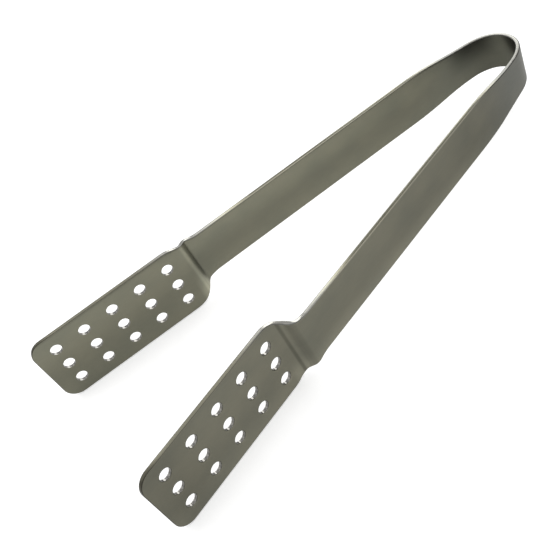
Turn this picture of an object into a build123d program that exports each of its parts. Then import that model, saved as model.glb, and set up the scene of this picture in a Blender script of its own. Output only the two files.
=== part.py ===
from build123d import *
from math import acos, asin, atan2, cos, degrees, hypot, radians, sin
import os

# Tea bag tongs: one strip of stainless sheet, bent into a spring bow with two arms
# that end in wide, joggled, perforated paddles. The strip stands on its lower edge,
# with the bow at +X, the paddle tips at -X and one arm each side of the XZ plane.
# Radii are to the middle of the sheet, and angles are in degrees.

# Strip
overall_length = 154.6
sheet = 1.2
edge_break = 0.3
arm_width = 14.5

# Bow, half of it: a tight crown, wider sides, a long flare, then straight into the arm
bow_length = 30.0
crown_radius = 8.15
crown_angle = 52.6
side_radius = 12.6
side_angle = 22.8
flare_radius = 166.0
flare_angle = 5.3

# The strip is narrower round the crown and widens to the arm along the flare
crown_width = 11.1
taper_start = 5.4
taper_run = 23.5

# Joggle between arm and paddle: a tight bend, a short ramp, then a softer bend back
joggle_offset = 3.7
arm_bend_radius = 2.3
joggle_ramp = 0.7
paddle_bend_radius = 4.5
paddle_splay = 0.85

# Paddle
paddle_width = 22.7
paddle_length = 45.4
tip_corner_radius = 4.3

# Shoulders, which start this far before the joggle
shoulder_lead = 3.5
shoulder_hollow_radius = 11.1
shoulder_crest_radius = 8.2

# Drain holes, spread over the flat of the paddle inside these margins to their centres
hole_diameter = 3.6
hole_rows = 5
hole_columns = 3
hole_tip_margin = 6.4
hole_joggle_margin = 3.0
hole_edge_margin = 5.05

# Gap left between the tips when the tongs are squeezed shut
tip_clearance = 0.3

# How far outlines and sweeps run past the faces that they cut
overrun = 5.0

# Headings of the strip's middle line on the rear half, counted from +X
side_heading = 90 + crown_angle
flare_heading = side_heading + side_angle
arm_heading = flare_heading + flare_angle
paddle_heading = arm_heading - paddle_splay


def direction(heading):
    return Vector(cos(radians(heading)), sin(radians(heading)))


def arc_reach(radius, start_heading, end_heading):
    # How far an arc carries the strip towards the tips, along X
    return radius * (sin(radians(start_heading)) - sin(radians(end_heading)))


# Plane across the strip, for its section
def section_plane(start, heading):
    return Plane(origin=start, x_dir=(0, 0, 1), z_dir=direction(heading))


# Plane along the middle of the sheet, with x towards the tip and y up
def face_plane(start, heading):
    return Plane(origin=start, x_dir=direction(heading), z_dir=direction(heading - 90))


# Bow: what is left of its length after the arcs is straight
bow_arcs_reach = arc_reach(crown_radius, 90, side_heading)
bow_arcs_reach += arc_reach(side_radius, side_heading, flare_heading)
bow_arcs_reach += arc_reach(flare_radius, flare_heading, arm_heading)
bow_straight = (bow_length - sheet / 2 - bow_arcs_reach) / -cos(radians(arm_heading))

# Taper: two equal arcs each side, tangent to the crown's edge and to the arm's
taper_rise = (arm_width - crown_width) / 2
taper_radius = (taper_run**2 + taper_rise**2) / (4 * taper_rise)
taper_angle = degrees(asin(taper_run / 2 / taper_radius))

# Joggle: the strip turns by as much as steps it in by the offset
both_radii = arm_bend_radius + paddle_bend_radius
level_drop = arm_bend_radius + paddle_bend_radius * cos(radians(paddle_splay)) - joggle_offset
ramp_turn = degrees(atan2(joggle_ramp, both_radii))
joggle_angle = degrees(acos(level_drop / hypot(both_radii, joggle_ramp))) - ramp_turn
ramp_heading = arm_heading + joggle_angle
joggle_run = both_radii * sin(radians(joggle_angle)) + joggle_ramp * cos(radians(joggle_angle))
joggle_run += paddle_bend_radius * sin(radians(paddle_splay))

# Shoulders: two arcs each, with a short neck before them
shoulder_rise = (paddle_width - arm_width) / 2
shoulder_radii = shoulder_hollow_radius + shoulder_crest_radius
shoulder_angle = degrees(acos(1 - shoulder_rise / shoulder_radii))
neck_length = shoulder_lead + sheet

# The straight arm takes what the other pieces leave of the overall length
joggle_reach = joggle_run * -cos(radians(arm_heading)) + joggle_offset * sin(radians(arm_heading))
paddle_reach = (paddle_length - edge_break) * -cos(radians(paddle_heading))
paddle_reach += (sheet / 2 - edge_break) * sin(radians(paddle_heading)) + edge_break
arm_reach = overall_length - bow_length - joggle_reach - paddle_reach
arm_length = arm_reach / -cos(radians(arm_heading)) - neck_length

# Middle lines of the rear half, from the crown to past the tip
crown = Vector(overall_length / 2 - sheet / 2, 0, paddle_width / 2)

with BuildLine() as bow_line:
    crown_arc = JernArc(crown, direction(90), crown_radius, crown_angle)
    side_arc = JernArc(crown_arc @ 1, crown_arc % 1, side_radius, side_angle)
    flare_arc = JernArc(side_arc @ 1, side_arc % 1, flare_radius, flare_angle)
    bow_end = flare_arc @ 1 + bow_straight * direction(arm_heading)
    Line(flare_arc @ 1, bow_end)

neck_start = bow_end + arm_length * direction(arm_heading)
joggle_start = neck_start + neck_length * direction(arm_heading)

with BuildLine() as paddle_line:
    Line(neck_start, joggle_start)
    arm_bend = JernArc(joggle_start, direction(arm_heading), arm_bend_radius, joggle_angle)
    ramp_end = arm_bend @ 1 + joggle_ramp * direction(ramp_heading)
    Line(arm_bend @ 1, ramp_end)
    unbend = -joggle_angle - paddle_splay
    paddle_bend = JernArc(ramp_end, direction(ramp_heading), paddle_bend_radius, unbend)
    tip = paddle_bend @ 1 + paddle_length * direction(paddle_heading)
    Line(paddle_bend @ 1, tip + overrun * direction(paddle_heading))

with BuildPart() as spring_bow:
    with BuildSketch(section_plane(crown, 90)):
        Rectangle(arm_width, sheet)
    sweep(path=bow_line.wire())
    # Side outline: narrow round the crown, widening to the arm's width
    with BuildSketch(Plane(origin=crown, x_dir=(-1, 0, 0), z_dir=(0, 1, 0))):
        with BuildLine():
            crown_edge = Line((-overrun, crown_width / 2), (taper_start, crown_width / 2))
            widen = JernArc(crown_edge @ 1, (1, 0), taper_radius, taper_angle)
            settle = JernArc(widen @ 1, widen % 1, taper_radius, -taper_angle)
            far_corner = (bow_length + overrun, arm_width / 2)
            Line(settle @ 1, far_corner)
            Line(far_corner, (bow_length + overrun, 0))
            Line(crown_edge @ 0, (-overrun, 0))
            mirror(about=Plane.XZ)
        make_face()
    extrude(amount=bow_length, both=True, mode=Mode.INTERSECT)
    mirror(about=Plane.XZ)
    # The rims round the crown carry the break on along both arms
    crown_rims = edges().filter_by(Axis.Z, reverse=True).sort_by(Axis.X)[-8:]
    chamfer(crown_rims, edge_break)

with BuildPart() as rear_arm:
    with BuildSketch(section_plane(bow_end, arm_heading)):
        Rectangle(arm_width, sheet)
        chamfer(vertices(), edge_break)
    extrude(amount=arm_length)

with BuildPart() as rear_paddle:
    with BuildSketch(section_plane(neck_start, arm_heading)):
        Rectangle(paddle_width, sheet)
    sweep(path=paddle_line.wire())
    # Side outline: shoulders from the arm's width to the paddle's, and rounded tip corners
    paddle_plane = face_plane(tip, paddle_heading)
    shoulder_x = paddle_plane.to_local_coords(joggle_start).X - shoulder_lead
    with BuildSketch(paddle_plane):
        with BuildLine():
            neck_edge = Line((shoulder_x - overrun, arm_width / 2), (shoulder_x, arm_width / 2))
            hollow = JernArc(neck_edge @ 1, (1, 0), shoulder_hollow_radius, shoulder_angle)
            crest = JernArc(hollow @ 1, hollow % 1, shoulder_crest_radius, -shoulder_angle)
            long_edge = Line(crest @ 1, (-tip_corner_radius, paddle_width / 2))
            corner = JernArc(long_edge @ 1, (1, 0), tip_corner_radius, -90)
            Line(corner @ 1, (0, 0))
            Line(neck_edge @ 0, (shoulder_x - overrun, 0))
            mirror(about=Plane.XZ)
        make_face()
    extrude(amount=paddle_width, both=True, mode=Mode.INTERSECT)
    # The long rims carry the break on round the tip and down the neck
    long_rims = edges().filter_by(Axis.Z, reverse=True).sort_by(SortBy.LENGTH)[-4:]
    chamfer(long_rims, edge_break)
    # Drain holes, punched square to the paddle
    hole_field = paddle_length - hole_tip_margin - hole_joggle_margin
    row_pitch = hole_field / (hole_rows - 1)
    column_pitch = (paddle_width - 2 * hole_edge_margin) / (hole_columns - 1)
    with BuildSketch(paddle_plane):
        with Locations((-hole_tip_margin - hole_field / 2, 0)):
            with GridLocations(row_pitch, column_pitch, hole_rows, hole_columns):
                Circle(hole_diameter / 2)
    extrude(amount=sheet, both=True, mode=Mode.SUBTRACT)

with BuildPart() as front_arm:
    mirror(rear_arm.part, about=Plane.XZ)

with BuildPart() as front_paddle:
    mirror(rear_paddle.part, about=Plane.XZ)

# Each arm turns about its inner face where it leaves the bow, until the tips meet
pivot = bow_end + sheet / 2 * direction(arm_heading + 90)
tip_inner = tip + sheet / 2 * direction(paddle_heading + 90)
tip_lever = hypot(tip_inner.X - pivot.X, tip_inner.Y - pivot.Y)
open_angle = atan2(tip_inner.Y - pivot.Y, pivot.X - tip_inner.X)
shut_angle = asin((tip_clearance / 2 - pivot.Y) / tip_lever)
print(f"pivot x {pivot.X:.3f} y {pivot.Y:.3f}, shuts by {degrees(open_angle - shut_angle):.2f} degrees")
print(f"opening at the tips {2 * tip_inner.Y:.2f}, straight arm {arm_length:.2f}")

os.makedirs("parts", exist_ok=True)
pieces = {
    "spring_bow": spring_bow,
    "front_arm": front_arm,
    "front_paddle": front_paddle,
    "rear_arm": rear_arm,
    "rear_paddle": rear_paddle,
}
for name, piece in pieces.items():
    piece.part.label = name
    export_step(piece.part, f"parts/{name}.step")
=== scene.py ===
from math import acos, atan2, cos, degrees, hypot, pi, radians, sin

import bmesh
import bpy
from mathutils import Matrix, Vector


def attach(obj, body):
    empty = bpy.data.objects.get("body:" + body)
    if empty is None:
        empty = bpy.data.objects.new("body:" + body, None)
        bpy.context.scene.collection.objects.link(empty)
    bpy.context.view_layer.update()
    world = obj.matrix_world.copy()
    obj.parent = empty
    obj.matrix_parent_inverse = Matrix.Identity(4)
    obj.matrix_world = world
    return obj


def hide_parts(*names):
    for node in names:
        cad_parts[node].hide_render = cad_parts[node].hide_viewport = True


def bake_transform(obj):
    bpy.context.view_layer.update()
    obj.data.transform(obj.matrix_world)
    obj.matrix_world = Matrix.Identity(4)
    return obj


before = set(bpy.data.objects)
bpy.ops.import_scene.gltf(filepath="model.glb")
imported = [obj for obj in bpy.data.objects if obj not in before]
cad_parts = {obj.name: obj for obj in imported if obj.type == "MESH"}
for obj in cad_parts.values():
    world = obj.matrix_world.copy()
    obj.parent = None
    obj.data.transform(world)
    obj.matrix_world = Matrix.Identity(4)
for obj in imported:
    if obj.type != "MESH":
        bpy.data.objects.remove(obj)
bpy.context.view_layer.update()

mm = 0.001

# The tongs are one strip of stainless sheet. Its rear half is laid out flat as a blank, with its
# outline and holes, then bent, thickened and rounded, cut into its sections and mirrored.
# Lengths are in mm and angles in degrees; headings are counted from +X.
strip = {
    "sheet": 1.2,
    "armWidth": 14.5,
    "crownX": 76.7,        # middle of the sheet at the crown
    "middleZ": 11.35,
    "bowLength": 30.0,
    "armLength": 69.45,
    "rimRound": 0.24, "rimSteps": 4,
    "rimBorder": 0.5,      # a loop kept this far inside every edge keeps the flats flat
    "shortest": 0.04,      # points of the bent blank that are nearer than this are merged
    "sparePastCrown": 1.0,  # cut off again once the rims are rounded
    "sharpFrom": 60.0,     # edges that turn by more than this are rounded
    "shadeSmoothTo": 35.0,
}
bow = {
    "crownWidth": 11.1,
    "crownRadius": 8.15, "crownAngle": 52.6, "crownSteps": 18,
    "sideRadius": 12.6, "sideAngle": 22.8, "sideSteps": 9,
    "flareRadius": 166.0, "flareAngle": 5.3, "flareSteps": 6,
    "taperStart": 5.4, "taperRun": 23.5, "taperSamples": 14,
    "armLines": 18, "armLineGap": 2.6,   # cross lines along the arm, this far apart
}
joggle = {
    "offset": 3.7, "ramp": 1.2, "splay": 0.85,
    "armBend": 2.1, "armBendSteps": 10,
    "paddleBend": 4.4, "paddleBendSteps": 14,
}
shoulder = {"lead": 3.5, "hollow": 11.1, "crest": 8.2, "samples": 24}
paddle = {
    "width": 22.7, "length": 45.4, "tipCorner": 4.3, "cornerSteps": 10,
    "holeDiameter": 3.3, "holeSides": 36, "rows": 5, "columns": 3,
    "holeMouth": 0.35, "mouthSteps": 4,   # the punch rolls the edge in on the outside of the strip
    "holeBurr": 0.05, "burrSteps": 1,     # and leaves it nearly sharp on the inside
    "tipMargin": 6.4, "joggleMargin": 3.0, "edgeMargin": 5.05,
}
bowArcs = (("crownRadius", "crownAngle"), ("sideRadius", "sideAngle"), ("flareRadius", "flareAngle"))

# How near counts as there: for a cut and for a point in metres, and along a run or round a hole in mm
slack = {"cut": 1e-7, "point": 1e-6, "run": 1e-4, "tip": 0.01, "hole": 0.02}


def arcReach(radius, startHeading, endHeading):
    return radius * (sin(radians(startHeading)) - sin(radians(endHeading)))


# Headings and runs: a run is counted along the blank from the crown
sideHeading = 90 + bow["crownAngle"]
flareHeading = sideHeading + bow["sideAngle"]
armHeading = flareHeading + bow["flareAngle"]
crownRun = bow["crownRadius"] * radians(bow["crownAngle"])
sideRun = bow["sideRadius"] * radians(bow["sideAngle"])
flareRun = bow["flareRadius"] * radians(bow["flareAngle"])
arcsReach = arcReach(bow["crownRadius"], 90, sideHeading)
arcsReach += arcReach(bow["sideRadius"], sideHeading, flareHeading)
arcsReach += arcReach(bow["flareRadius"], flareHeading, armHeading)
bowStraight = (strip["bowLength"] - strip["sheet"] / 2 - arcsReach) / -cos(radians(armHeading))
flareStart = crownRun + sideRun
straightStart = flareStart + flareRun
bowEnd = straightStart + bowStraight
neckStart = bowEnd + strip["armLength"]

# The joggle turns by as much as steps the strip in by its offset
splay = radians(joggle["splay"])
bothRadii = joggle["armBend"] + joggle["paddleBend"]
levelDrop = joggle["armBend"] + joggle["paddleBend"] * cos(splay) - joggle["offset"]
bendAngle = acos(levelDrop / hypot(bothRadii, joggle["ramp"])) - atan2(joggle["ramp"], bothRadii)
unbendAngle = bendAngle + splay
joggleStart = neckStart + shoulder["lead"] + strip["sheet"]
rampStart = joggleStart + joggle["armBend"] * bendAngle
unbendStart = rampStart + joggle["ramp"]
flatStart = unbendStart + joggle["paddleBend"] * unbendAngle
tipEnd = flatStart + paddle["length"]

rowPitch = (paddle["length"] - paddle["tipMargin"] - paddle["joggleMargin"]) / (paddle["rows"] - 1)
columnPitch = (paddle["width"] - 2 * paddle["edgeMargin"]) / (paddle["columns"] - 1)
shoulderRise = (paddle["width"] - strip["armWidth"]) / 2
taperRise = (strip["armWidth"] - bow["crownWidth"]) / 2
taperRadius = (bow["taperRun"]**2 + taperRise**2) / (4 * taperRise)


# How far behind the crown a place on the blank ends up once the bow is bent
def behindCrown(run):
    reach, heading, left = 0.0, 90.0, run
    for size, angle in bowArcs:
        turned = min(degrees(left / bow[size]), bow[angle])
        reach += arcReach(bow[size], heading, heading + turned)
        heading += turned
        left -= bow[size] * radians(turned)
    return reach - left * cos(radians(heading))


# How far past the joggle's start a place on the blank ends up, along the paddle
def pastJoggle(run):
    left = run - joggleStart
    if left <= 0:
        return left
    turned = min(left / joggle["armBend"], bendAngle)
    reach, left = joggle["armBend"] * sin(turned), left - joggle["armBend"] * turned
    ramp = min(left, joggle["ramp"])
    reach, left = reach + ramp * cos(bendAngle), left - ramp
    turned = min(left / joggle["paddleBend"], unbendAngle)
    reach += joggle["paddleBend"] * (sin(bendAngle) - sin(bendAngle - turned))
    return reach + left - joggle["paddleBend"] * turned


# Two arcs, hollow then crest, that lead one straight edge out to a wider one
def easedRise(along, rise, hollow, crest):
    turn = acos(1 - rise / (hollow + crest))
    toCrest, run = hollow * sin(turn), (hollow + crest) * sin(turn)
    if along <= 0:
        return 0.0
    if along < toCrest:
        return hollow - (hollow**2 - along**2) ** 0.5
    if along < run:
        return rise - crest + (crest**2 - (run - along) ** 2) ** 0.5
    return rise


def halfWidth(run):
    taper = easedRise(behindCrown(max(run, 0)) - bow["taperStart"], taperRise, taperRadius, taperRadius)
    pastStart = pastJoggle(run) + shoulder["lead"]
    widening = easedRise(pastStart, shoulderRise, shoulder["hollow"], shoulder["crest"])
    return bow["crownWidth"] / 2 + taper + widening


def spread(low, high, count):
    return [low + (high - low) * (i + 0.5) / count for i in range(count)]


# Where the blank turns, as (run, degrees), and the plain lines beside the turns
turns = []
for start, run, angle, steps in (
        (0, crownRun, bow["crownAngle"], bow["crownSteps"]),
        (crownRun, sideRun, bow["sideAngle"], bow["sideSteps"]),
        (flareStart, flareRun, bow["flareAngle"], bow["flareSteps"]),
        (joggleStart, rampStart - joggleStart, degrees(bendAngle), joggle["armBendSteps"]),
        (unbendStart, flatStart - unbendStart, -degrees(unbendAngle), joggle["paddleBendSteps"])):
    turns += [(place, angle / steps) for place in spread(start, start + run, steps)]
plainLines = [straightStart, joggleStart, rampStart, unbendStart, flatStart]
plainLines += [straightStart + bow["armLineGap"] * (i + 1) for i in range(bow["armLines"])]


def headingAt(run):
    return 90 + sum(angle for place, angle in turns if place <= run)


def along(heading):
    return Vector((cos(radians(heading)), sin(radians(heading)), 0))


# Picking and editing, always by place

def deselectAll():
    if bpy.context.mode != "OBJECT":
        bpy.ops.object.mode_set(mode="OBJECT")
    bpy.ops.object.select_all(action="DESELECT")


def startPiece(name):
    deselectAll()
    bpy.ops.mesh.primitive_plane_add(size=1, location=(0, 0, 0))
    piece = bpy.context.object
    piece.name = piece.data.name = name
    bpy.ops.object.mode_set(mode="EDIT")
    return piece


# Selects what passes the test, and nothing else
def pick(piece, kind, test):
    mesh = bmesh.from_edit_mesh(piece.data)
    bpy.ops.mesh.select_mode(type=kind)
    bpy.ops.mesh.select_all(action="DESELECT")
    count = 0
    for item in {"VERT": mesh.verts, "EDGE": mesh.edges, "FACE": mesh.faces}[kind]:
        if test(item):
            item.select_set(True)
            count += 1
    mesh.select_flush_mode()
    bmesh.update_edit_mesh(piece.data)
    return count


def cutAcross(place, normal, clearOuter=False, fill=False):
    bpy.ops.mesh.select_mode(type="FACE")
    bpy.ops.mesh.select_all(action="SELECT")
    bpy.ops.mesh.bisect(plane_co=place, plane_no=normal, use_fill=fill, clear_outer=clearOuter,
                        threshold=slack["cut"])


def onBlank(run, across=0.0):
    return Vector((strip["crownX"], run, strip["middleZ"] + across)) * mm


# Which way transform.rotate turns here, tried on a spare plane that is then removed
def findTurnSign():
    spare = startPiece("spare")
    bpy.ops.transform.rotate(value=0.1, orient_axis="Z", center_override=(0, 0, 0))
    bpy.ops.object.mode_set(mode="OBJECT")
    corner = max((v.co.copy() for v in spare.data.vertices), key=lambda co: co.x + co.y)
    bpy.ops.object.delete()
    return 1 if atan2(corner.y, corner.x) > pi / 4 else -1


# Takes out the cell that a hole's centre lies in, and fills between the cell's edge and a circle
def punchHole(blank, centre):
    cell = []

    def holds(f):
        low = [min(v.co[i] for v in f.verts) for i in (1, 2)]
        high = [max(v.co[i] for v in f.verts) for i in (1, 2)]
        inside = low[0] < centre.y < high[0] and low[1] < centre.z < high[1]
        if inside:
            cell[:] = low + high
        return inside
    pick(blank, "FACE", holds)
    bpy.ops.mesh.delete(type="ONLY_FACE")
    radius = paddle["holeDiameter"] / 2 * mm
    bpy.ops.mesh.primitive_circle_add(vertices=paddle["holeSides"], radius=radius, location=centre,
                                      rotation=(0, pi / 2, 0))
    spare = slack["point"]

    def inCell(v):
        return cell[0] - spare < v.co.y < cell[2] + spare and cell[1] - spare < v.co.z < cell[3] + spare
    pick(blank, "EDGE", lambda e: len(e.link_faces) < 2 and all(inCell(v) for v in e.verts))
    bpy.ops.mesh.fill(use_beauty=True)


# The flat blank of one half, standing across the crown: outline, drain holes and a border loop
def makeBlank():
    blank = startPiece("halfStrip")
    low = -strip["sparePastCrown"]
    length = tipEnd - low
    bpy.ops.transform.rotate(value=pi / 2, orient_axis="Y", center_override=(0, 0, 0))
    bpy.ops.transform.resize(value=(1, length * mm, bow["crownWidth"] * mm))
    bpy.ops.transform.translate(value=onBlank(low + length / 2))

    # Outline samples along the taper and the shoulders
    shoulderStart = joggleStart - shoulder["lead"]
    turn = acos(1 - shoulderRise / (shoulder["hollow"] + shoulder["crest"]))
    shoulderRun = (shoulder["hollow"] + shoulder["crest"]) * sin(turn)
    shoulderEnd = flatStart + shoulderRun - shoulder["lead"] - pastJoggle(flatStart)
    samples = [low / 2]
    samples += [bowEnd * (i + 1) / (bow["taperSamples"] + 1) for i in range(bow["taperSamples"] + 1)]
    samples += [shoulderStart + (shoulderEnd - shoulderStart) * i / shoulder["samples"]
                for i in range(shoulder["samples"] + 1)]
    for run in samples:
        cutAcross(onBlank(run), (0, 1, 0))
    for run in samples + [tipEnd]:
        pick(blank, "VERT", lambda v: abs(v.co.y - run * mm) < slack["point"])
        wider = 2 * halfWidth(run) / bow["crownWidth"]
        bpy.ops.transform.resize(value=(1, 1, wider), center_override=onBlank(run))
    pick(blank, "EDGE", lambda e: len(e.link_faces) == 2)
    bpy.ops.mesh.dissolve_edges(use_verts=False)

    # Rounded tip corners
    pick(blank, "VERT", lambda v: v.co.y > (tipEnd - slack["tip"]) * mm)
    bpy.ops.mesh.bevel(offset=paddle["tipCorner"] * mm, segments=paddle["cornerSteps"],
                       affect="VERTICES", clamp_overlap=False)

    # One cell for each drain hole, then each cell is filled again round its hole
    firstRow = tipEnd - paddle["tipMargin"]
    middleColumn = (paddle["columns"] - 1) / 2
    for run in [firstRow - (row + 0.5) * rowPitch for row in range(paddle["rows"] - 1)] + [flatStart]:
        cutAcross(onBlank(run), (0, 1, 0))
    for column in range(paddle["columns"] - 1):
        pick(blank, "FACE", lambda f: f.calc_center_median().y > flatStart * mm)
        bpy.ops.mesh.bisect(plane_co=onBlank(0, (column + 1 - paddle["columns"] / 2) * columnPitch),
                            plane_no=(0, 0, 1), threshold=slack["cut"])
    for row in range(paddle["rows"]):
        for column in range(paddle["columns"]):
            centre = onBlank(firstRow - row * rowPitch, (column - middleColumn) * columnPitch)
            punchHole(blank, centre)
    bpy.ops.mesh.select_mode(type="FACE")
    bpy.ops.mesh.select_all(action="SELECT")
    bpy.ops.mesh.inset(thickness=strip["rimBorder"] * mm, use_boundary=True, use_even_offset=True)

    # The holes' edges go into a group, because they are rounded by other amounts than the rims
    def onHole(v):
        fromTip = (firstRow - v.co.y / mm) / rowPitch
        fromMiddle = (v.co.z / mm - strip["middleZ"]) / columnPitch
        row = min(max(round(fromTip), 0), paddle["rows"] - 1)
        column = min(max(round(fromMiddle), -middleColumn), middleColumn)
        away = hypot((fromTip - row) * rowPitch, (fromMiddle - column) * columnPitch)
        return abs(away - paddle["holeDiameter"] / 2) < slack["hole"]
    pick(blank, "VERT", onHole)
    bpy.ops.object.mode_set(mode="OBJECT")
    blank.vertex_groups.new(name="holeEdge")
    bpy.ops.object.mode_set(mode="EDIT")
    bpy.ops.object.vertex_group_assign()
    return blank


def bendBlank(blank):
    for run in sorted(plainLines + [place for place, angle in turns]):
        cutAcross(onBlank(run), (0, 1, 0))

    # Two UV maps let a finish follow the strip: the blank's own lengths in metres, and how far
    # across the strip a place is, from -1 at the lower edge to 1 at the upper
    bpy.ops.object.mode_set(mode="OBJECT")
    for layer in list(blank.data.uv_layers):
        blank.data.uv_layers.remove(layer)
    for name in ("blank", "across"):
        blank.data.uv_layers.new(name=name)
    for loop in blank.data.loops:
        place = blank.data.vertices[loop.vertex_index].co
        share = (place.z / mm - strip["middleZ"]) / halfWidth(place.y / mm)
        blank.data.uv_layers["blank"].data[loop.index].uv = (place.y, place.z)
        blank.data.uv_layers["across"].data[loop.index].uv = (share, 0)
    runs = [v.co.y / mm for v in blank.data.vertices]
    bpy.ops.object.mode_set(mode="EDIT")

    # Bent from the paddle back to the crown, so that each line is still where the blank had it
    for place, angle in sorted(turns, reverse=True):
        pick(blank, "VERT", lambda v: runs[v.index] > place + slack["run"])
        bpy.ops.transform.rotate(value=radians(angle) * turnSign, orient_axis="Z",
                                 center_override=onBlank(place))

    # A cut that fell beside a corner leaves an edge too short to round
    before = len(runs)
    bpy.ops.mesh.select_all(action="SELECT")
    bpy.ops.mesh.remove_doubles(threshold=strip["shortest"] * mm)
    print("merged", before - len(bmesh.from_edit_mesh(blank.data).verts), "points")


# Slots on the strip, in the order that its materials are added
outside, inside, rimSlot, rolledSlot, punchedSlot = range(5)


def thicken(blank):
    bpy.ops.object.mode_set(mode="OBJECT")
    bpy.context.view_layer.objects.active = blank
    bpy.ops.object.modifier_add(type="SOLIDIFY")
    solidify = blank.modifiers[-1]
    solidify.thickness = strip["sheet"] * mm
    solidify.offset = 0
    solidify.use_even_offset = True
    solidify.material_offset = inside
    solidify.material_offset_rim = rimSlot
    bpy.ops.object.modifier_apply(modifier=solidify.name)
    bpy.ops.object.mode_set(mode="EDIT")
    bpy.ops.mesh.select_all(action="SELECT")
    bpy.ops.mesh.normals_make_consistent(inside=False)

    # The holes' edges on each face first, then the rims
    group = blank.vertex_groups["holeEdge"].index
    outwards = along(armHeading - joggle["splay"] - 90)
    mesh = bmesh.from_edit_mesh(blank.data)
    weights = mesh.verts.layers.deform.verify()
    depths = [v.co.dot(outwards) for v in mesh.verts if group in v[weights]]
    middle = (min(depths) + max(depths)) / 2

    def sideOf(e):
        if not all(group in v[weights] for v in e.verts):
            return "rim"
        return "mouth" if e.verts[0].co.dot(outwards) > middle else "burr"

    def isSharp(e):
        return len(e.link_faces) == 2 and e.calc_face_angle() > radians(strip["sharpFrom"])
    for side, size, steps, slot in (("mouth", paddle["holeMouth"], paddle["mouthSteps"], punchedSlot),
                                    ("burr", paddle["holeBurr"], paddle["burrSteps"], punchedSlot),
                                    ("rim", strip["rimRound"], strip["rimSteps"], rimSlot)):
        mesh = bmesh.from_edit_mesh(blank.data)
        weights = mesh.verts.layers.deform.verify()
        count = pick(blank, "EDGE", lambda e: isSharp(e) and sideOf(e) == side)
        bpy.ops.mesh.bevel(offset=size * mm, segments=steps, affect="EDGES", material=slot,
                           clamp_overlap=False)
        print("rounded", count, side, "edges by", size, "mm")


# How squarely a face has to look outwards or inwards, where 1 is squarely, to count as rolled over at
# a rim, as the outer lip of a hole's mouth, or as one of the strip's two flat faces
facing = {"rolled": 0.12, "mouth": 0.5, "flat": 0.9}


# Hands out the slots again now that the strip has its final shape
def sortSlots(blank):
    mesh = bmesh.from_edit_mesh(blank.data)
    weights = mesh.verts.layers.deform.verify()
    uv = mesh.loops.layers.uv["blank"]
    group = blank.vertex_groups["holeEdge"].index

    def outwards(f):
        run = sum(loop[uv].uv.x for loop in f.loops) / len(f.loops) / mm
        return f.normal.dot(along(headingAt(run) - 90))

    def inHole(f):
        return f.material_index >= rimSlot and all(group in v[weights] for v in f.verts)

    def looksOut(f):
        return outwards(f) > facing["mouth" if f.material_index == punchedSlot else "flat"]

    for slot, test in (
            (punchedSlot, inHole),
            (rolledSlot, lambda f: f.material_index == rimSlot and abs(outwards(f)) > facing["rolled"]),
            (outside, looksOut),
            (inside, lambda f: f.material_index != punchedSlot and outwards(f) < -facing["flat"])):
        count = pick(blank, "FACE", test)
        blank.active_material_index = slot
        bpy.ops.object.material_slot_assign()
        print("slot", slot, "on", count, "faces")


# A copy with its own mesh and the given name, left in edit mode
def copyOf(source, name):
    deselectAll()
    source.select_set(True)
    bpy.context.view_layer.objects.active = source
    bpy.ops.object.duplicate()
    piece = bpy.context.object
    piece.name = piece.data.name = name
    bpy.ops.object.mode_set(mode="EDIT")
    return piece


# The half strip cut down to one section and closed at its ends
def splitPiece(source, name, cuts):
    piece = copyOf(source, name)
    for place, normal in cuts:
        cutAcross(place, normal, clearOuter=True, fill=True)
    bpy.ops.object.mode_set(mode="OBJECT")
    bpy.ops.object.shade_smooth_by_angle(angle=radians(strip["shadeSmoothTo"]))
    return piece


def mirrored(source, name):
    piece = copyOf(source, name)
    bpy.ops.mesh.select_all(action="SELECT")
    bpy.ops.transform.resize(value=(1, -1, 1), center_override=(0, 0, 0))
    bpy.ops.mesh.normals_make_consistent(inside=False)
    bpy.ops.object.mode_set(mode="OBJECT")
    return piece
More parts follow.
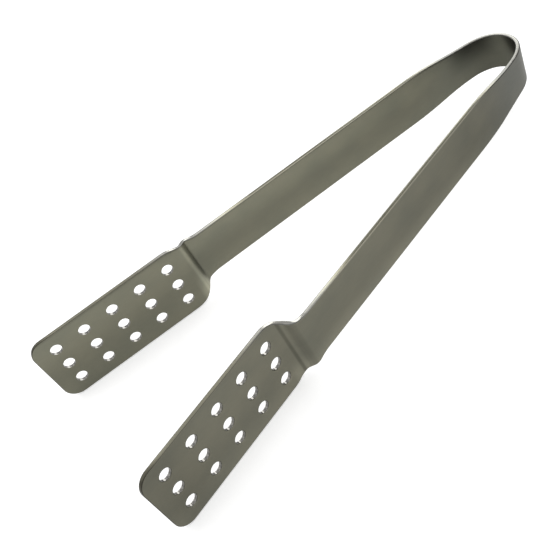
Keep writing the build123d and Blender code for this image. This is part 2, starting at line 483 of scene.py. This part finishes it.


# Finishes: a tumbled satin on the faces, polished rims and plain punched holes. Runs are in mm
# along the strip, and a level is a share of the brightness. The levels, edges, rim line and marks paint
# light and shade.
finish = {
    "lineSize": 0.33, "lineStretch": 14.0,
    "grainSize": 0.2, "grainStretch": 1.4,
    "mottleStretch": 1.6,
    "detail": 3.0,
    "grainRelief": 0.02,
    "warmth": 0.04,
    "glancing": 0.7,       # how bright the metal gets when seen along its surface
    "edgesFrom": 12.0, "edgesTo": 40.0,   # the painted light and shade at the edges and the painted dark line by the rim fade in here, and the bow's tint fades out
    "upperFrom": -0.2, "lowerFrom": -0.3,   # how far across the strip the painted light and shade at the edges begins
    "markCore": 0.2,       # a mark is at its full strength over this share of its half width
    "lineRange": (0.3, 0.7), "roughChange": (-0.04, 0.05),   # the lines change the roughness by this
}
finishes = {
    "satinOutside": {
        "colour": (0.137, 0.135, 0.106), "bowTint": (0.97, 1.0, 1.12),
        "roughness": 0.38, "relief": 0.5, "mottleSize": 9.0, "mottle": 0.2,
        # Painted light and shade: brighter and darker stretches along the strip
        "paintedLevels": ((12.0, 0.97), (28.0, 0.84), (58.0, 1.02), (84.0, 1.09), (138.0, 1.08), (158.0, 0.88)),
        # Painted light: lighter towards the upper and lower edges
        "paintedUpperEdge": 0.03, "paintedLowerEdge": 0.26,
        # Painted highlights and sheen beside the joggle's bends, and darker lines across the strip there:
        # run, half width, change, and where across the strip it grows from and to
        "paintedMarks": ((110.2, 0.9, -0.13), (112.2, 1.0, 0.2), (113.6, 0.8, -0.3),
                  (115.6, 2.4, 0.2, -0.2, -1.0)),
    },
    "satinInside": {
        "colour": (0.15, 0.149, 0.114), "bowTint": (0.98, 1.0, 1.04),
        "roughness": 0.38, "relief": 0.5, "mottleSize": 9.0, "mottle": 0.2,
        # Painted light and shade along the strip, darkest inside the crown
        "paintedLevels": ((8.0, 0.6), (24.0, 0.96), (31.0, 0.98), (60.0, 1.03), (112.0, 1.01), (132.0, 0.96),
                   (158.0, 0.9)),
        # Painted light: lighter towards the upper and lower edges
        "paintedUpperEdge": 0.36, "paintedLowerEdge": 0.1,
        "upperShadeLine": (0.92, 0.96, -0.16),   # painted shade: a fine dark line beside the rim
        # The first five are painted highlights, sheen and darker lines beside the joggle's bends; the last
        # is painted shade inside the bow, towards its upper edge
        "paintedMarks": ((110.4, 1.0, -0.12), (112.6, 1.6, 0.3), (113.1, 0.8, 0.1), (111.4, 1.3, 0.6, -0.4, -1.0),
                  (113.6, 2.2, 0.6, 0.0, -1.0), (11.0, 10.0, -0.55, -0.6, 1.0)),
    },
    "polishedRim": {
        "colour": (0.172, 0.168, 0.129), "bowTint": (0.98, 1.0, 1.2),
        "roughness": 0.2, "relief": 0.25, "mottleSize": 5.0, "mottle": 0.15,
        "coolAgain": (111.0, 20.0),   # the bow's tint comes back round this run, to this far off, on the painted highlights by the joggle
        # Painted highlights round the bow and by the joggle, and painted shade towards the tip
        "paintedLevels": ((4.0, 1.2), (13.0, 0.74), (19.0, 0.76), (25.0, 1.05), (34.0, 0.68), (86.0, 0.68),
                   (97.0, 2.4), (107.0, 1.5), (118.0, 1.5), (128.0, 1.2), (152.0, 1.2), (159.0, 0.35)),
    },
    "rolledEdge": {
        "colour": (0.212, 0.206, 0.166), "bowTint": (0.98, 1.0, 1.16),
        "roughness": 0.24, "relief": 0.25, "mottleSize": 5.0, "mottle": 0.15,
        "coolAgain": (111.0, 20.0),
        # Painted light and shade along the rolled edges
        "paintedLevels": ((24.0, 0.28), (36.0, 1.3), (90.0, 1.2), (118.0, 0.5), (152.0, 0.45), (158.0, 0.2)),
        # Painted shade: darker towards the lower edge
        "paintedUpperEdge": 0.0, "paintedLowerEdge": -0.5,
    },
    "punchedEdge": {
        "colour": (0.165, 0.163, 0.153),
        "roughness": 0.12, "relief": 0.2, "mottleSize": 0.9, "mottle": 0.4,
    },
}


# Brushed metal: colour with clouds, then painted light and shade from levels, edges, a rim line and marks,
# then roughness and fine relief
def steel(name, look):
    material = bpy.data.materials.new(name)
    material.use_nodes = True
    nodes, links = material.node_tree.nodes, material.node_tree.links
    shader = nodes["Principled BSDF"]
    shader.inputs["Metallic"].default_value = 1.0
    shader.inputs["Specular Tint"].default_value = (*[finish["glancing"]] * 3, 1)

    def readMap(name):
        place = nodes.new("ShaderNodeUVMap")
        place.uv_map = name
        return place.outputs["UV"]

    def firstOf(vector):
        parts = nodes.new("ShaderNodeSeparateXYZ")
        links.new(vector, parts.inputs["Vector"])
        return parts.outputs["X"]

    # Noise of a given size in mm, longer along the strip by the stretch
    def noise(size, stretch):
        mapping = nodes.new("ShaderNodeMapping")
        mapping.inputs["Scale"].default_value = (1 / (size * stretch * mm), 1 / (size * mm), 1)
        texture = nodes.new("ShaderNodeTexNoise")
        texture.inputs["Scale"].default_value = 1.0
        texture.inputs["Detail"].default_value = finish["detail"]
        links.new(place, mapping.inputs["Vector"])
        links.new(mapping.outputs["Vector"], texture.inputs["Vector"])
        return texture.outputs["Fac"]

    def reckon(operation, *terms):
        step = nodes.new("ShaderNodeMath")
        step.operation = operation
        for socket, term in zip(step.inputs, terms):
            if isinstance(term, (int, float)):
                socket.default_value = term
            else:
                links.new(term, socket)
        return step.outputs["Value"]

    # Carries a value from one range to another
    def ranged(value, low, high, atLow, atHigh, kind="LINEAR"):
        step = nodes.new("ShaderNodeMapRange")
        step.interpolation_type = kind
        numbers = {"From Min": low, "From Max": high, "To Min": atLow, "To Max": atHigh}
        for socket, number in numbers.items():
            step.inputs[socket].default_value = number
        links.new(value, step.inputs["Value"])
        return step.outputs["Result"]

    def eased(value, low, high, atLow, atHigh):
        return ranged(value, low, high, atLow, atHigh, "SMOOTHSTEP")

    def scaled(colour, level):
        change = nodes.new("ShaderNodeVectorMath")
        change.operation = "SCALE"
        links.new(colour, change.inputs[0])
        links.new(level, change.inputs["Scale"])
        return change.outputs["Vector"]

    # Changes the colour by a share where the masks are 1, and not at all where one of them is 0
    def changed(colour, change, *masks):
        mask = masks[0]
        for other in masks[1:]:
            mask = reckon("MULTIPLY", mask, other)
        return scaled(colour, reckon("MULTIPLY_ADD", mask, change, 1.0))

    def near(value, centre, reach):
        away = reckon("ABSOLUTE", reckon("SUBTRACT", value, centre))
        return eased(away, finish["markCore"] * reach, reach, 1.0, 0.0)

    place = readMap("blank")
    run, share = firstOf(place), firstOf(readMap("across"))
    mottle = noise(look["mottleSize"], finish["mottleStretch"])
    lines = noise(finish["lineSize"], finish["lineStretch"])
    grain = noise(finish["grainSize"], finish["grainStretch"])

    paintedLevels = look.get("paintedLevels", ((0.0, 1.0),))
    depth, warmth = look["mottle"], finish["warmth"]
    colour = [c * paintedLevels[0][1] for c in look["colour"]]
    tint = nodes.new("ShaderNodeMix")
    tint.data_type = "RGBA"
    for socket, level, warmer in ((6, 1 - depth, -warmth), (7, 1 + depth, warmth)):
        shares = (1 + warmer, 1, 1 - warmer)
        tint.inputs[socket].default_value = (*[c * level * k for c, k in zip(colour, shares)], 1)
    links.new(mottle, tint.inputs[0])
    tinted = tint.outputs[2]
    # Painted light and shade: the colour steps up and down along the strip through the levels
    for (low, atLow), (high, atHigh) in zip(paintedLevels, paintedLevels[1:]):
        if atLow != atHigh:
            tinted = scaled(tinted, eased(run, low * mm, high * mm, 1.0, atHigh / atLow))
    pastBow = eased(run, finish["edgesFrom"] * mm, finish["edgesTo"] * mm, 0.0, 1.0)
    if "bowTint" in look:
        plain = pastBow
        if "coolAgain" in look:
            centre, reach = look["coolAgain"]
            away = reckon("SUBTRACT", 1.0, near(run, centre * mm, reach * mm))
            plain = reckon("MULTIPLY", pastBow, away)
        cooler = nodes.new("ShaderNodeVectorMath")
        cooler.operation = "MULTIPLY"
        cooler.inputs[1].default_value = look["bowTint"]
        fade = nodes.new("ShaderNodeMix")
        fade.data_type = "RGBA"
        links.new(tinted, cooler.inputs[0])
        links.new(plain, fade.inputs[0])
        links.new(cooler.outputs["Vector"], fade.inputs[6])
        links.new(tinted, fade.inputs[7])
        tinted = fade.outputs[2]
    # Painted light and shade across the strip, towards its upper and lower edges
    if "paintedUpperEdge" in look:
        upper = eased(share, finish["upperFrom"], 1.0, 0.0, 1.0)
        lower = eased(share, -1.0, finish["lowerFrom"], 1.0, 0.0)
        tinted = changed(tinted, look["paintedUpperEdge"], pastBow, upper)
        tinted = changed(tinted, look["paintedLowerEdge"], pastBow, lower)
    # A fine dark line beside the upper rim, painted shade
    if "upperShadeLine" in look:
        low, high, change = look["upperShadeLine"]
        tinted = changed(tinted, change, pastBow, eased(share, low, high, 0.0, 1.0))
    # Painted highlights, sheen and shade: each mark near one run, and where given, growing across the
    # strip
    for centre, reach, change, *ends in look.get("paintedMarks", ()):
        masks = [near(run, centre * mm, reach * mm)]
        if ends:
            masks.append(eased(share, *ends, 0.0, 1.0))
        tinted = changed(tinted, change, *masks)
    links.new(tinted, shader.inputs["Base Color"])

    roughness = [look["roughness"] + change for change in finish["roughChange"]]
    links.new(ranged(lines, *finish["lineRange"], *roughness), shader.inputs["Roughness"])

    bump = nodes.new("ShaderNodeBump")
    bump.inputs["Strength"].default_value = look["relief"]
    bump.inputs["Distance"].default_value = finish["grainRelief"] * mm
    links.new(reckon("ADD", lines, grain), bump.inputs["Height"])
    links.new(bump.outputs["Normal"], shader.inputs["Normal"])
    return material


turnSign = findTurnSign()
half = makeBlank()
for name, look in finishes.items():
    half.data.materials.append(steel(name, look))
print("blank:", len(half.data.vertices), "vertices before bending")
bendBlank(half)
thicken(half)
sortSlots(half)
print("half strip bent and rounded")
bpy.ops.object.mode_set(mode="OBJECT")


# A place on the straight of the arm, in metres
def onArm(run):
    heading, x, y, left = 90.0, strip["crownX"], 0.0, run
    for size, angle in bowArcs:
        x -= arcReach(bow[size], heading, heading + bow[angle])
        y += bow[size] * (cos(radians(heading)) - cos(radians(heading + bow[angle])))
        heading += bow[angle]
        left -= bow[size] * radians(bow[angle])
    return Vector((x, y, strip["middleZ"])) * mm + along(heading) * left * mm


# Pieces: each is a section of the same bent half, so neighbours meet without a step
armDirection = along(armHeading)
crownCut = (Vector((strip["crownX"] * mm, 0, 0)), Vector((0, -1, 0)))
bowCut, neckCut = onArm(bowEnd), onArm(neckStart)
pieces = {}
pieces["rearBow"] = splitPiece(half, "springBowRear", [crownCut, (bowCut, armDirection)])
pieces["rearArm"] = splitPiece(half, "rearArm", [(bowCut, -armDirection), (neckCut, armDirection)])
pieces["rearPaddle"] = splitPiece(half, "rearPaddle", [(neckCut, -armDirection)])
pieces["frontBow"] = mirrored(pieces["rearBow"], "springBowFront")
pieces["frontArm"] = mirrored(pieces["rearArm"], "frontArm")
pieces["frontPaddle"] = mirrored(pieces["rearPaddle"], "frontPaddle")
deselectAll()
half.select_set(True)
bpy.ops.object.delete()
for piece in pieces.values():
    print(piece.name, len(piece.data.polygons), "faces")

# What moves with what: each paddle rides on its jaw, the bow and arm pieces stay where they are, and the
# CAD's strip parts are hidden
flex = {"before": 30.0, "after": 30.0}   # mm either side of the hinge
inward = along(armHeading + 90) * (strip["sheet"] / 2 * mm)
for side, sign in (("rear", 1), ("front", -1)):
    mirrorY = Vector((1, sign, 1))
    pivot = (bowCut + inward) * mirrorY
    way = armDirection * mirrorY
    start = pivot - way * flex["before"] * mm
    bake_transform(pieces[side + "Bow"])
    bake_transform(pieces[side + "Arm"])
    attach(pieces[side + "Paddle"], side + "_jaw")
    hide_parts("spring_bow")
    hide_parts(side + "_arm")
    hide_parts(side + "_paddle")

# Floor, light and camera, in metres and watts
studio = {
    "floorSize": 4.0,
    "floorDrop": 0.0002,   # keeps the floor clear of the strip's lower edge
    "floorColour": 0.8,
    "floorRoughness": 0.9,
    "floorGlow": 0.45,
    "worldLevel": 0.65,
    "backdropLevel": 1.0,   # the world as the camera and the metal see it
    "lamps": (
        # name, place, what it points at, size, power
        ("overhead", (0.0, 0.0, 0.9), (0, 0, 0), (0.8, 0.8), 2.5),
        ("behindRight", (0.555, 0.638, 0.308), (0, 0, 0.01), (0.42, 0.52), 2.6),
        ("aboveRight", (0.17, 0.635, 0.614), (0, 0, 0.01), (0.2, 0.26), 0.24),
        ("behindLeft", (-0.46, 0.58, 0.53), (-0.04, 0, 0.01), (0.72, 0.55), 1.0),
    ),
}
view = {
    "place": (-0.062884, -0.153457, 0.159094),
    "turn": (42.0612, 22.3799, -39.6081),
    "lens": 53.962,
    "sensor": 36.0,
    "nearest": 0.005,
}


# A factor for what only the camera and the metal see, and that lights nothing
def seenOnly(nodes, links):
    path = nodes.new("ShaderNodeLightPath")
    seen = path.outputs["Is Camera Ray"]
    for ray in ("Is Glossy Ray", "Is Transmission Ray"):
        either = nodes.new("ShaderNodeMath")
        either.operation = "MAXIMUM"
        links.new(seen, either.inputs[0])
        links.new(path.outputs[ray], either.inputs[1])
        seen = either.outputs["Value"]
    return seen


def makeFloor():
    deselectAll()
    bpy.ops.mesh.primitive_plane_add(size=studio["floorSize"], location=(0, 0, -studio["floorDrop"]))
    floor = bpy.context.object
    floor.name = floor.data.name = "floor"
    material = bpy.data.materials.new("paleFloor")
    material.use_nodes = True
    nodes, links = material.node_tree.nodes, material.node_tree.links
    shader = nodes["Principled BSDF"]
    level = studio["floorColour"]
    shader.inputs["Base Color"].default_value = (level, level, level, 1)
    shader.inputs["Roughness"].default_value = studio["floorRoughness"]
    shader.inputs["Specular IOR Level"].default_value = 0.0
    glow = nodes.new("ShaderNodeEmission")
    glow.inputs["Color"].default_value = (1, 1, 1, 1)
    glow.inputs["Strength"].default_value = studio["floorGlow"]
    lifted = nodes.new("ShaderNodeAddShader")
    links.new(shader.outputs["BSDF"], lifted.inputs[0])
    links.new(glow.outputs["Emission"], lifted.inputs[1])

    mix = nodes.new("ShaderNodeMixShader")
    links.new(seenOnly(nodes, links), mix.inputs["Fac"])
    links.new(shader.outputs["BSDF"], mix.inputs[1])
    links.new(lifted.outputs["Shader"], mix.inputs[2])
    links.new(mix.outputs["Shader"], nodes["Material Output"].inputs["Surface"])
    floor.data.materials.append(material)


def makeWorld():
    world = bpy.data.worlds.new("studio")
    bpy.context.scene.world = world
    world.use_nodes = True
    nodes, links = world.node_tree.nodes, world.node_tree.links
    sky = nodes["Background"]
    backdrop = nodes.new("ShaderNodeBackground")
    for shader, level in ((sky, studio["worldLevel"]), (backdrop, studio["backdropLevel"])):
        shader.inputs["Color"].default_value = (1, 1, 1, 1)
        shader.inputs["Strength"].default_value = level
    mix = nodes.new("ShaderNodeMixShader")
    links.new(seenOnly(nodes, links), mix.inputs["Fac"])
    links.new(sky.outputs["Background"], mix.inputs[1])
    links.new(backdrop.outputs["Background"], mix.inputs[2])
    links.new(mix.outputs["Shader"], nodes["World Output"].inputs["Surface"])


def makeLamps():
    for name, place, aim, size, power in studio["lamps"]:
        bpy.ops.object.light_add(type="AREA", location=place)
        lamp = bpy.context.object
        lamp.name = name
        lamp.data.shape = "RECTANGLE"
        lamp.data.size, lamp.data.size_y = size
        lamp.data.energy = power
        lamp.rotation_euler = (Vector(aim) - Vector(place)).to_track_quat("-Z", "Y").to_euler()


def makeCamera():
    bpy.ops.object.camera_add(location=view["place"], rotation=[radians(a) for a in view["turn"]])
    camera = bpy.context.object
    camera.data.sensor_width = view["sensor"]
    camera.data.lens = view["lens"]
    camera.data.clip_start = view["nearest"]
    bpy.context.scene.camera = camera
    bpy.context.scene.view_settings.view_transform = "Standard"


makeFloor()
makeWorld()
makeLamps()
makeCamera()
print("studio set")
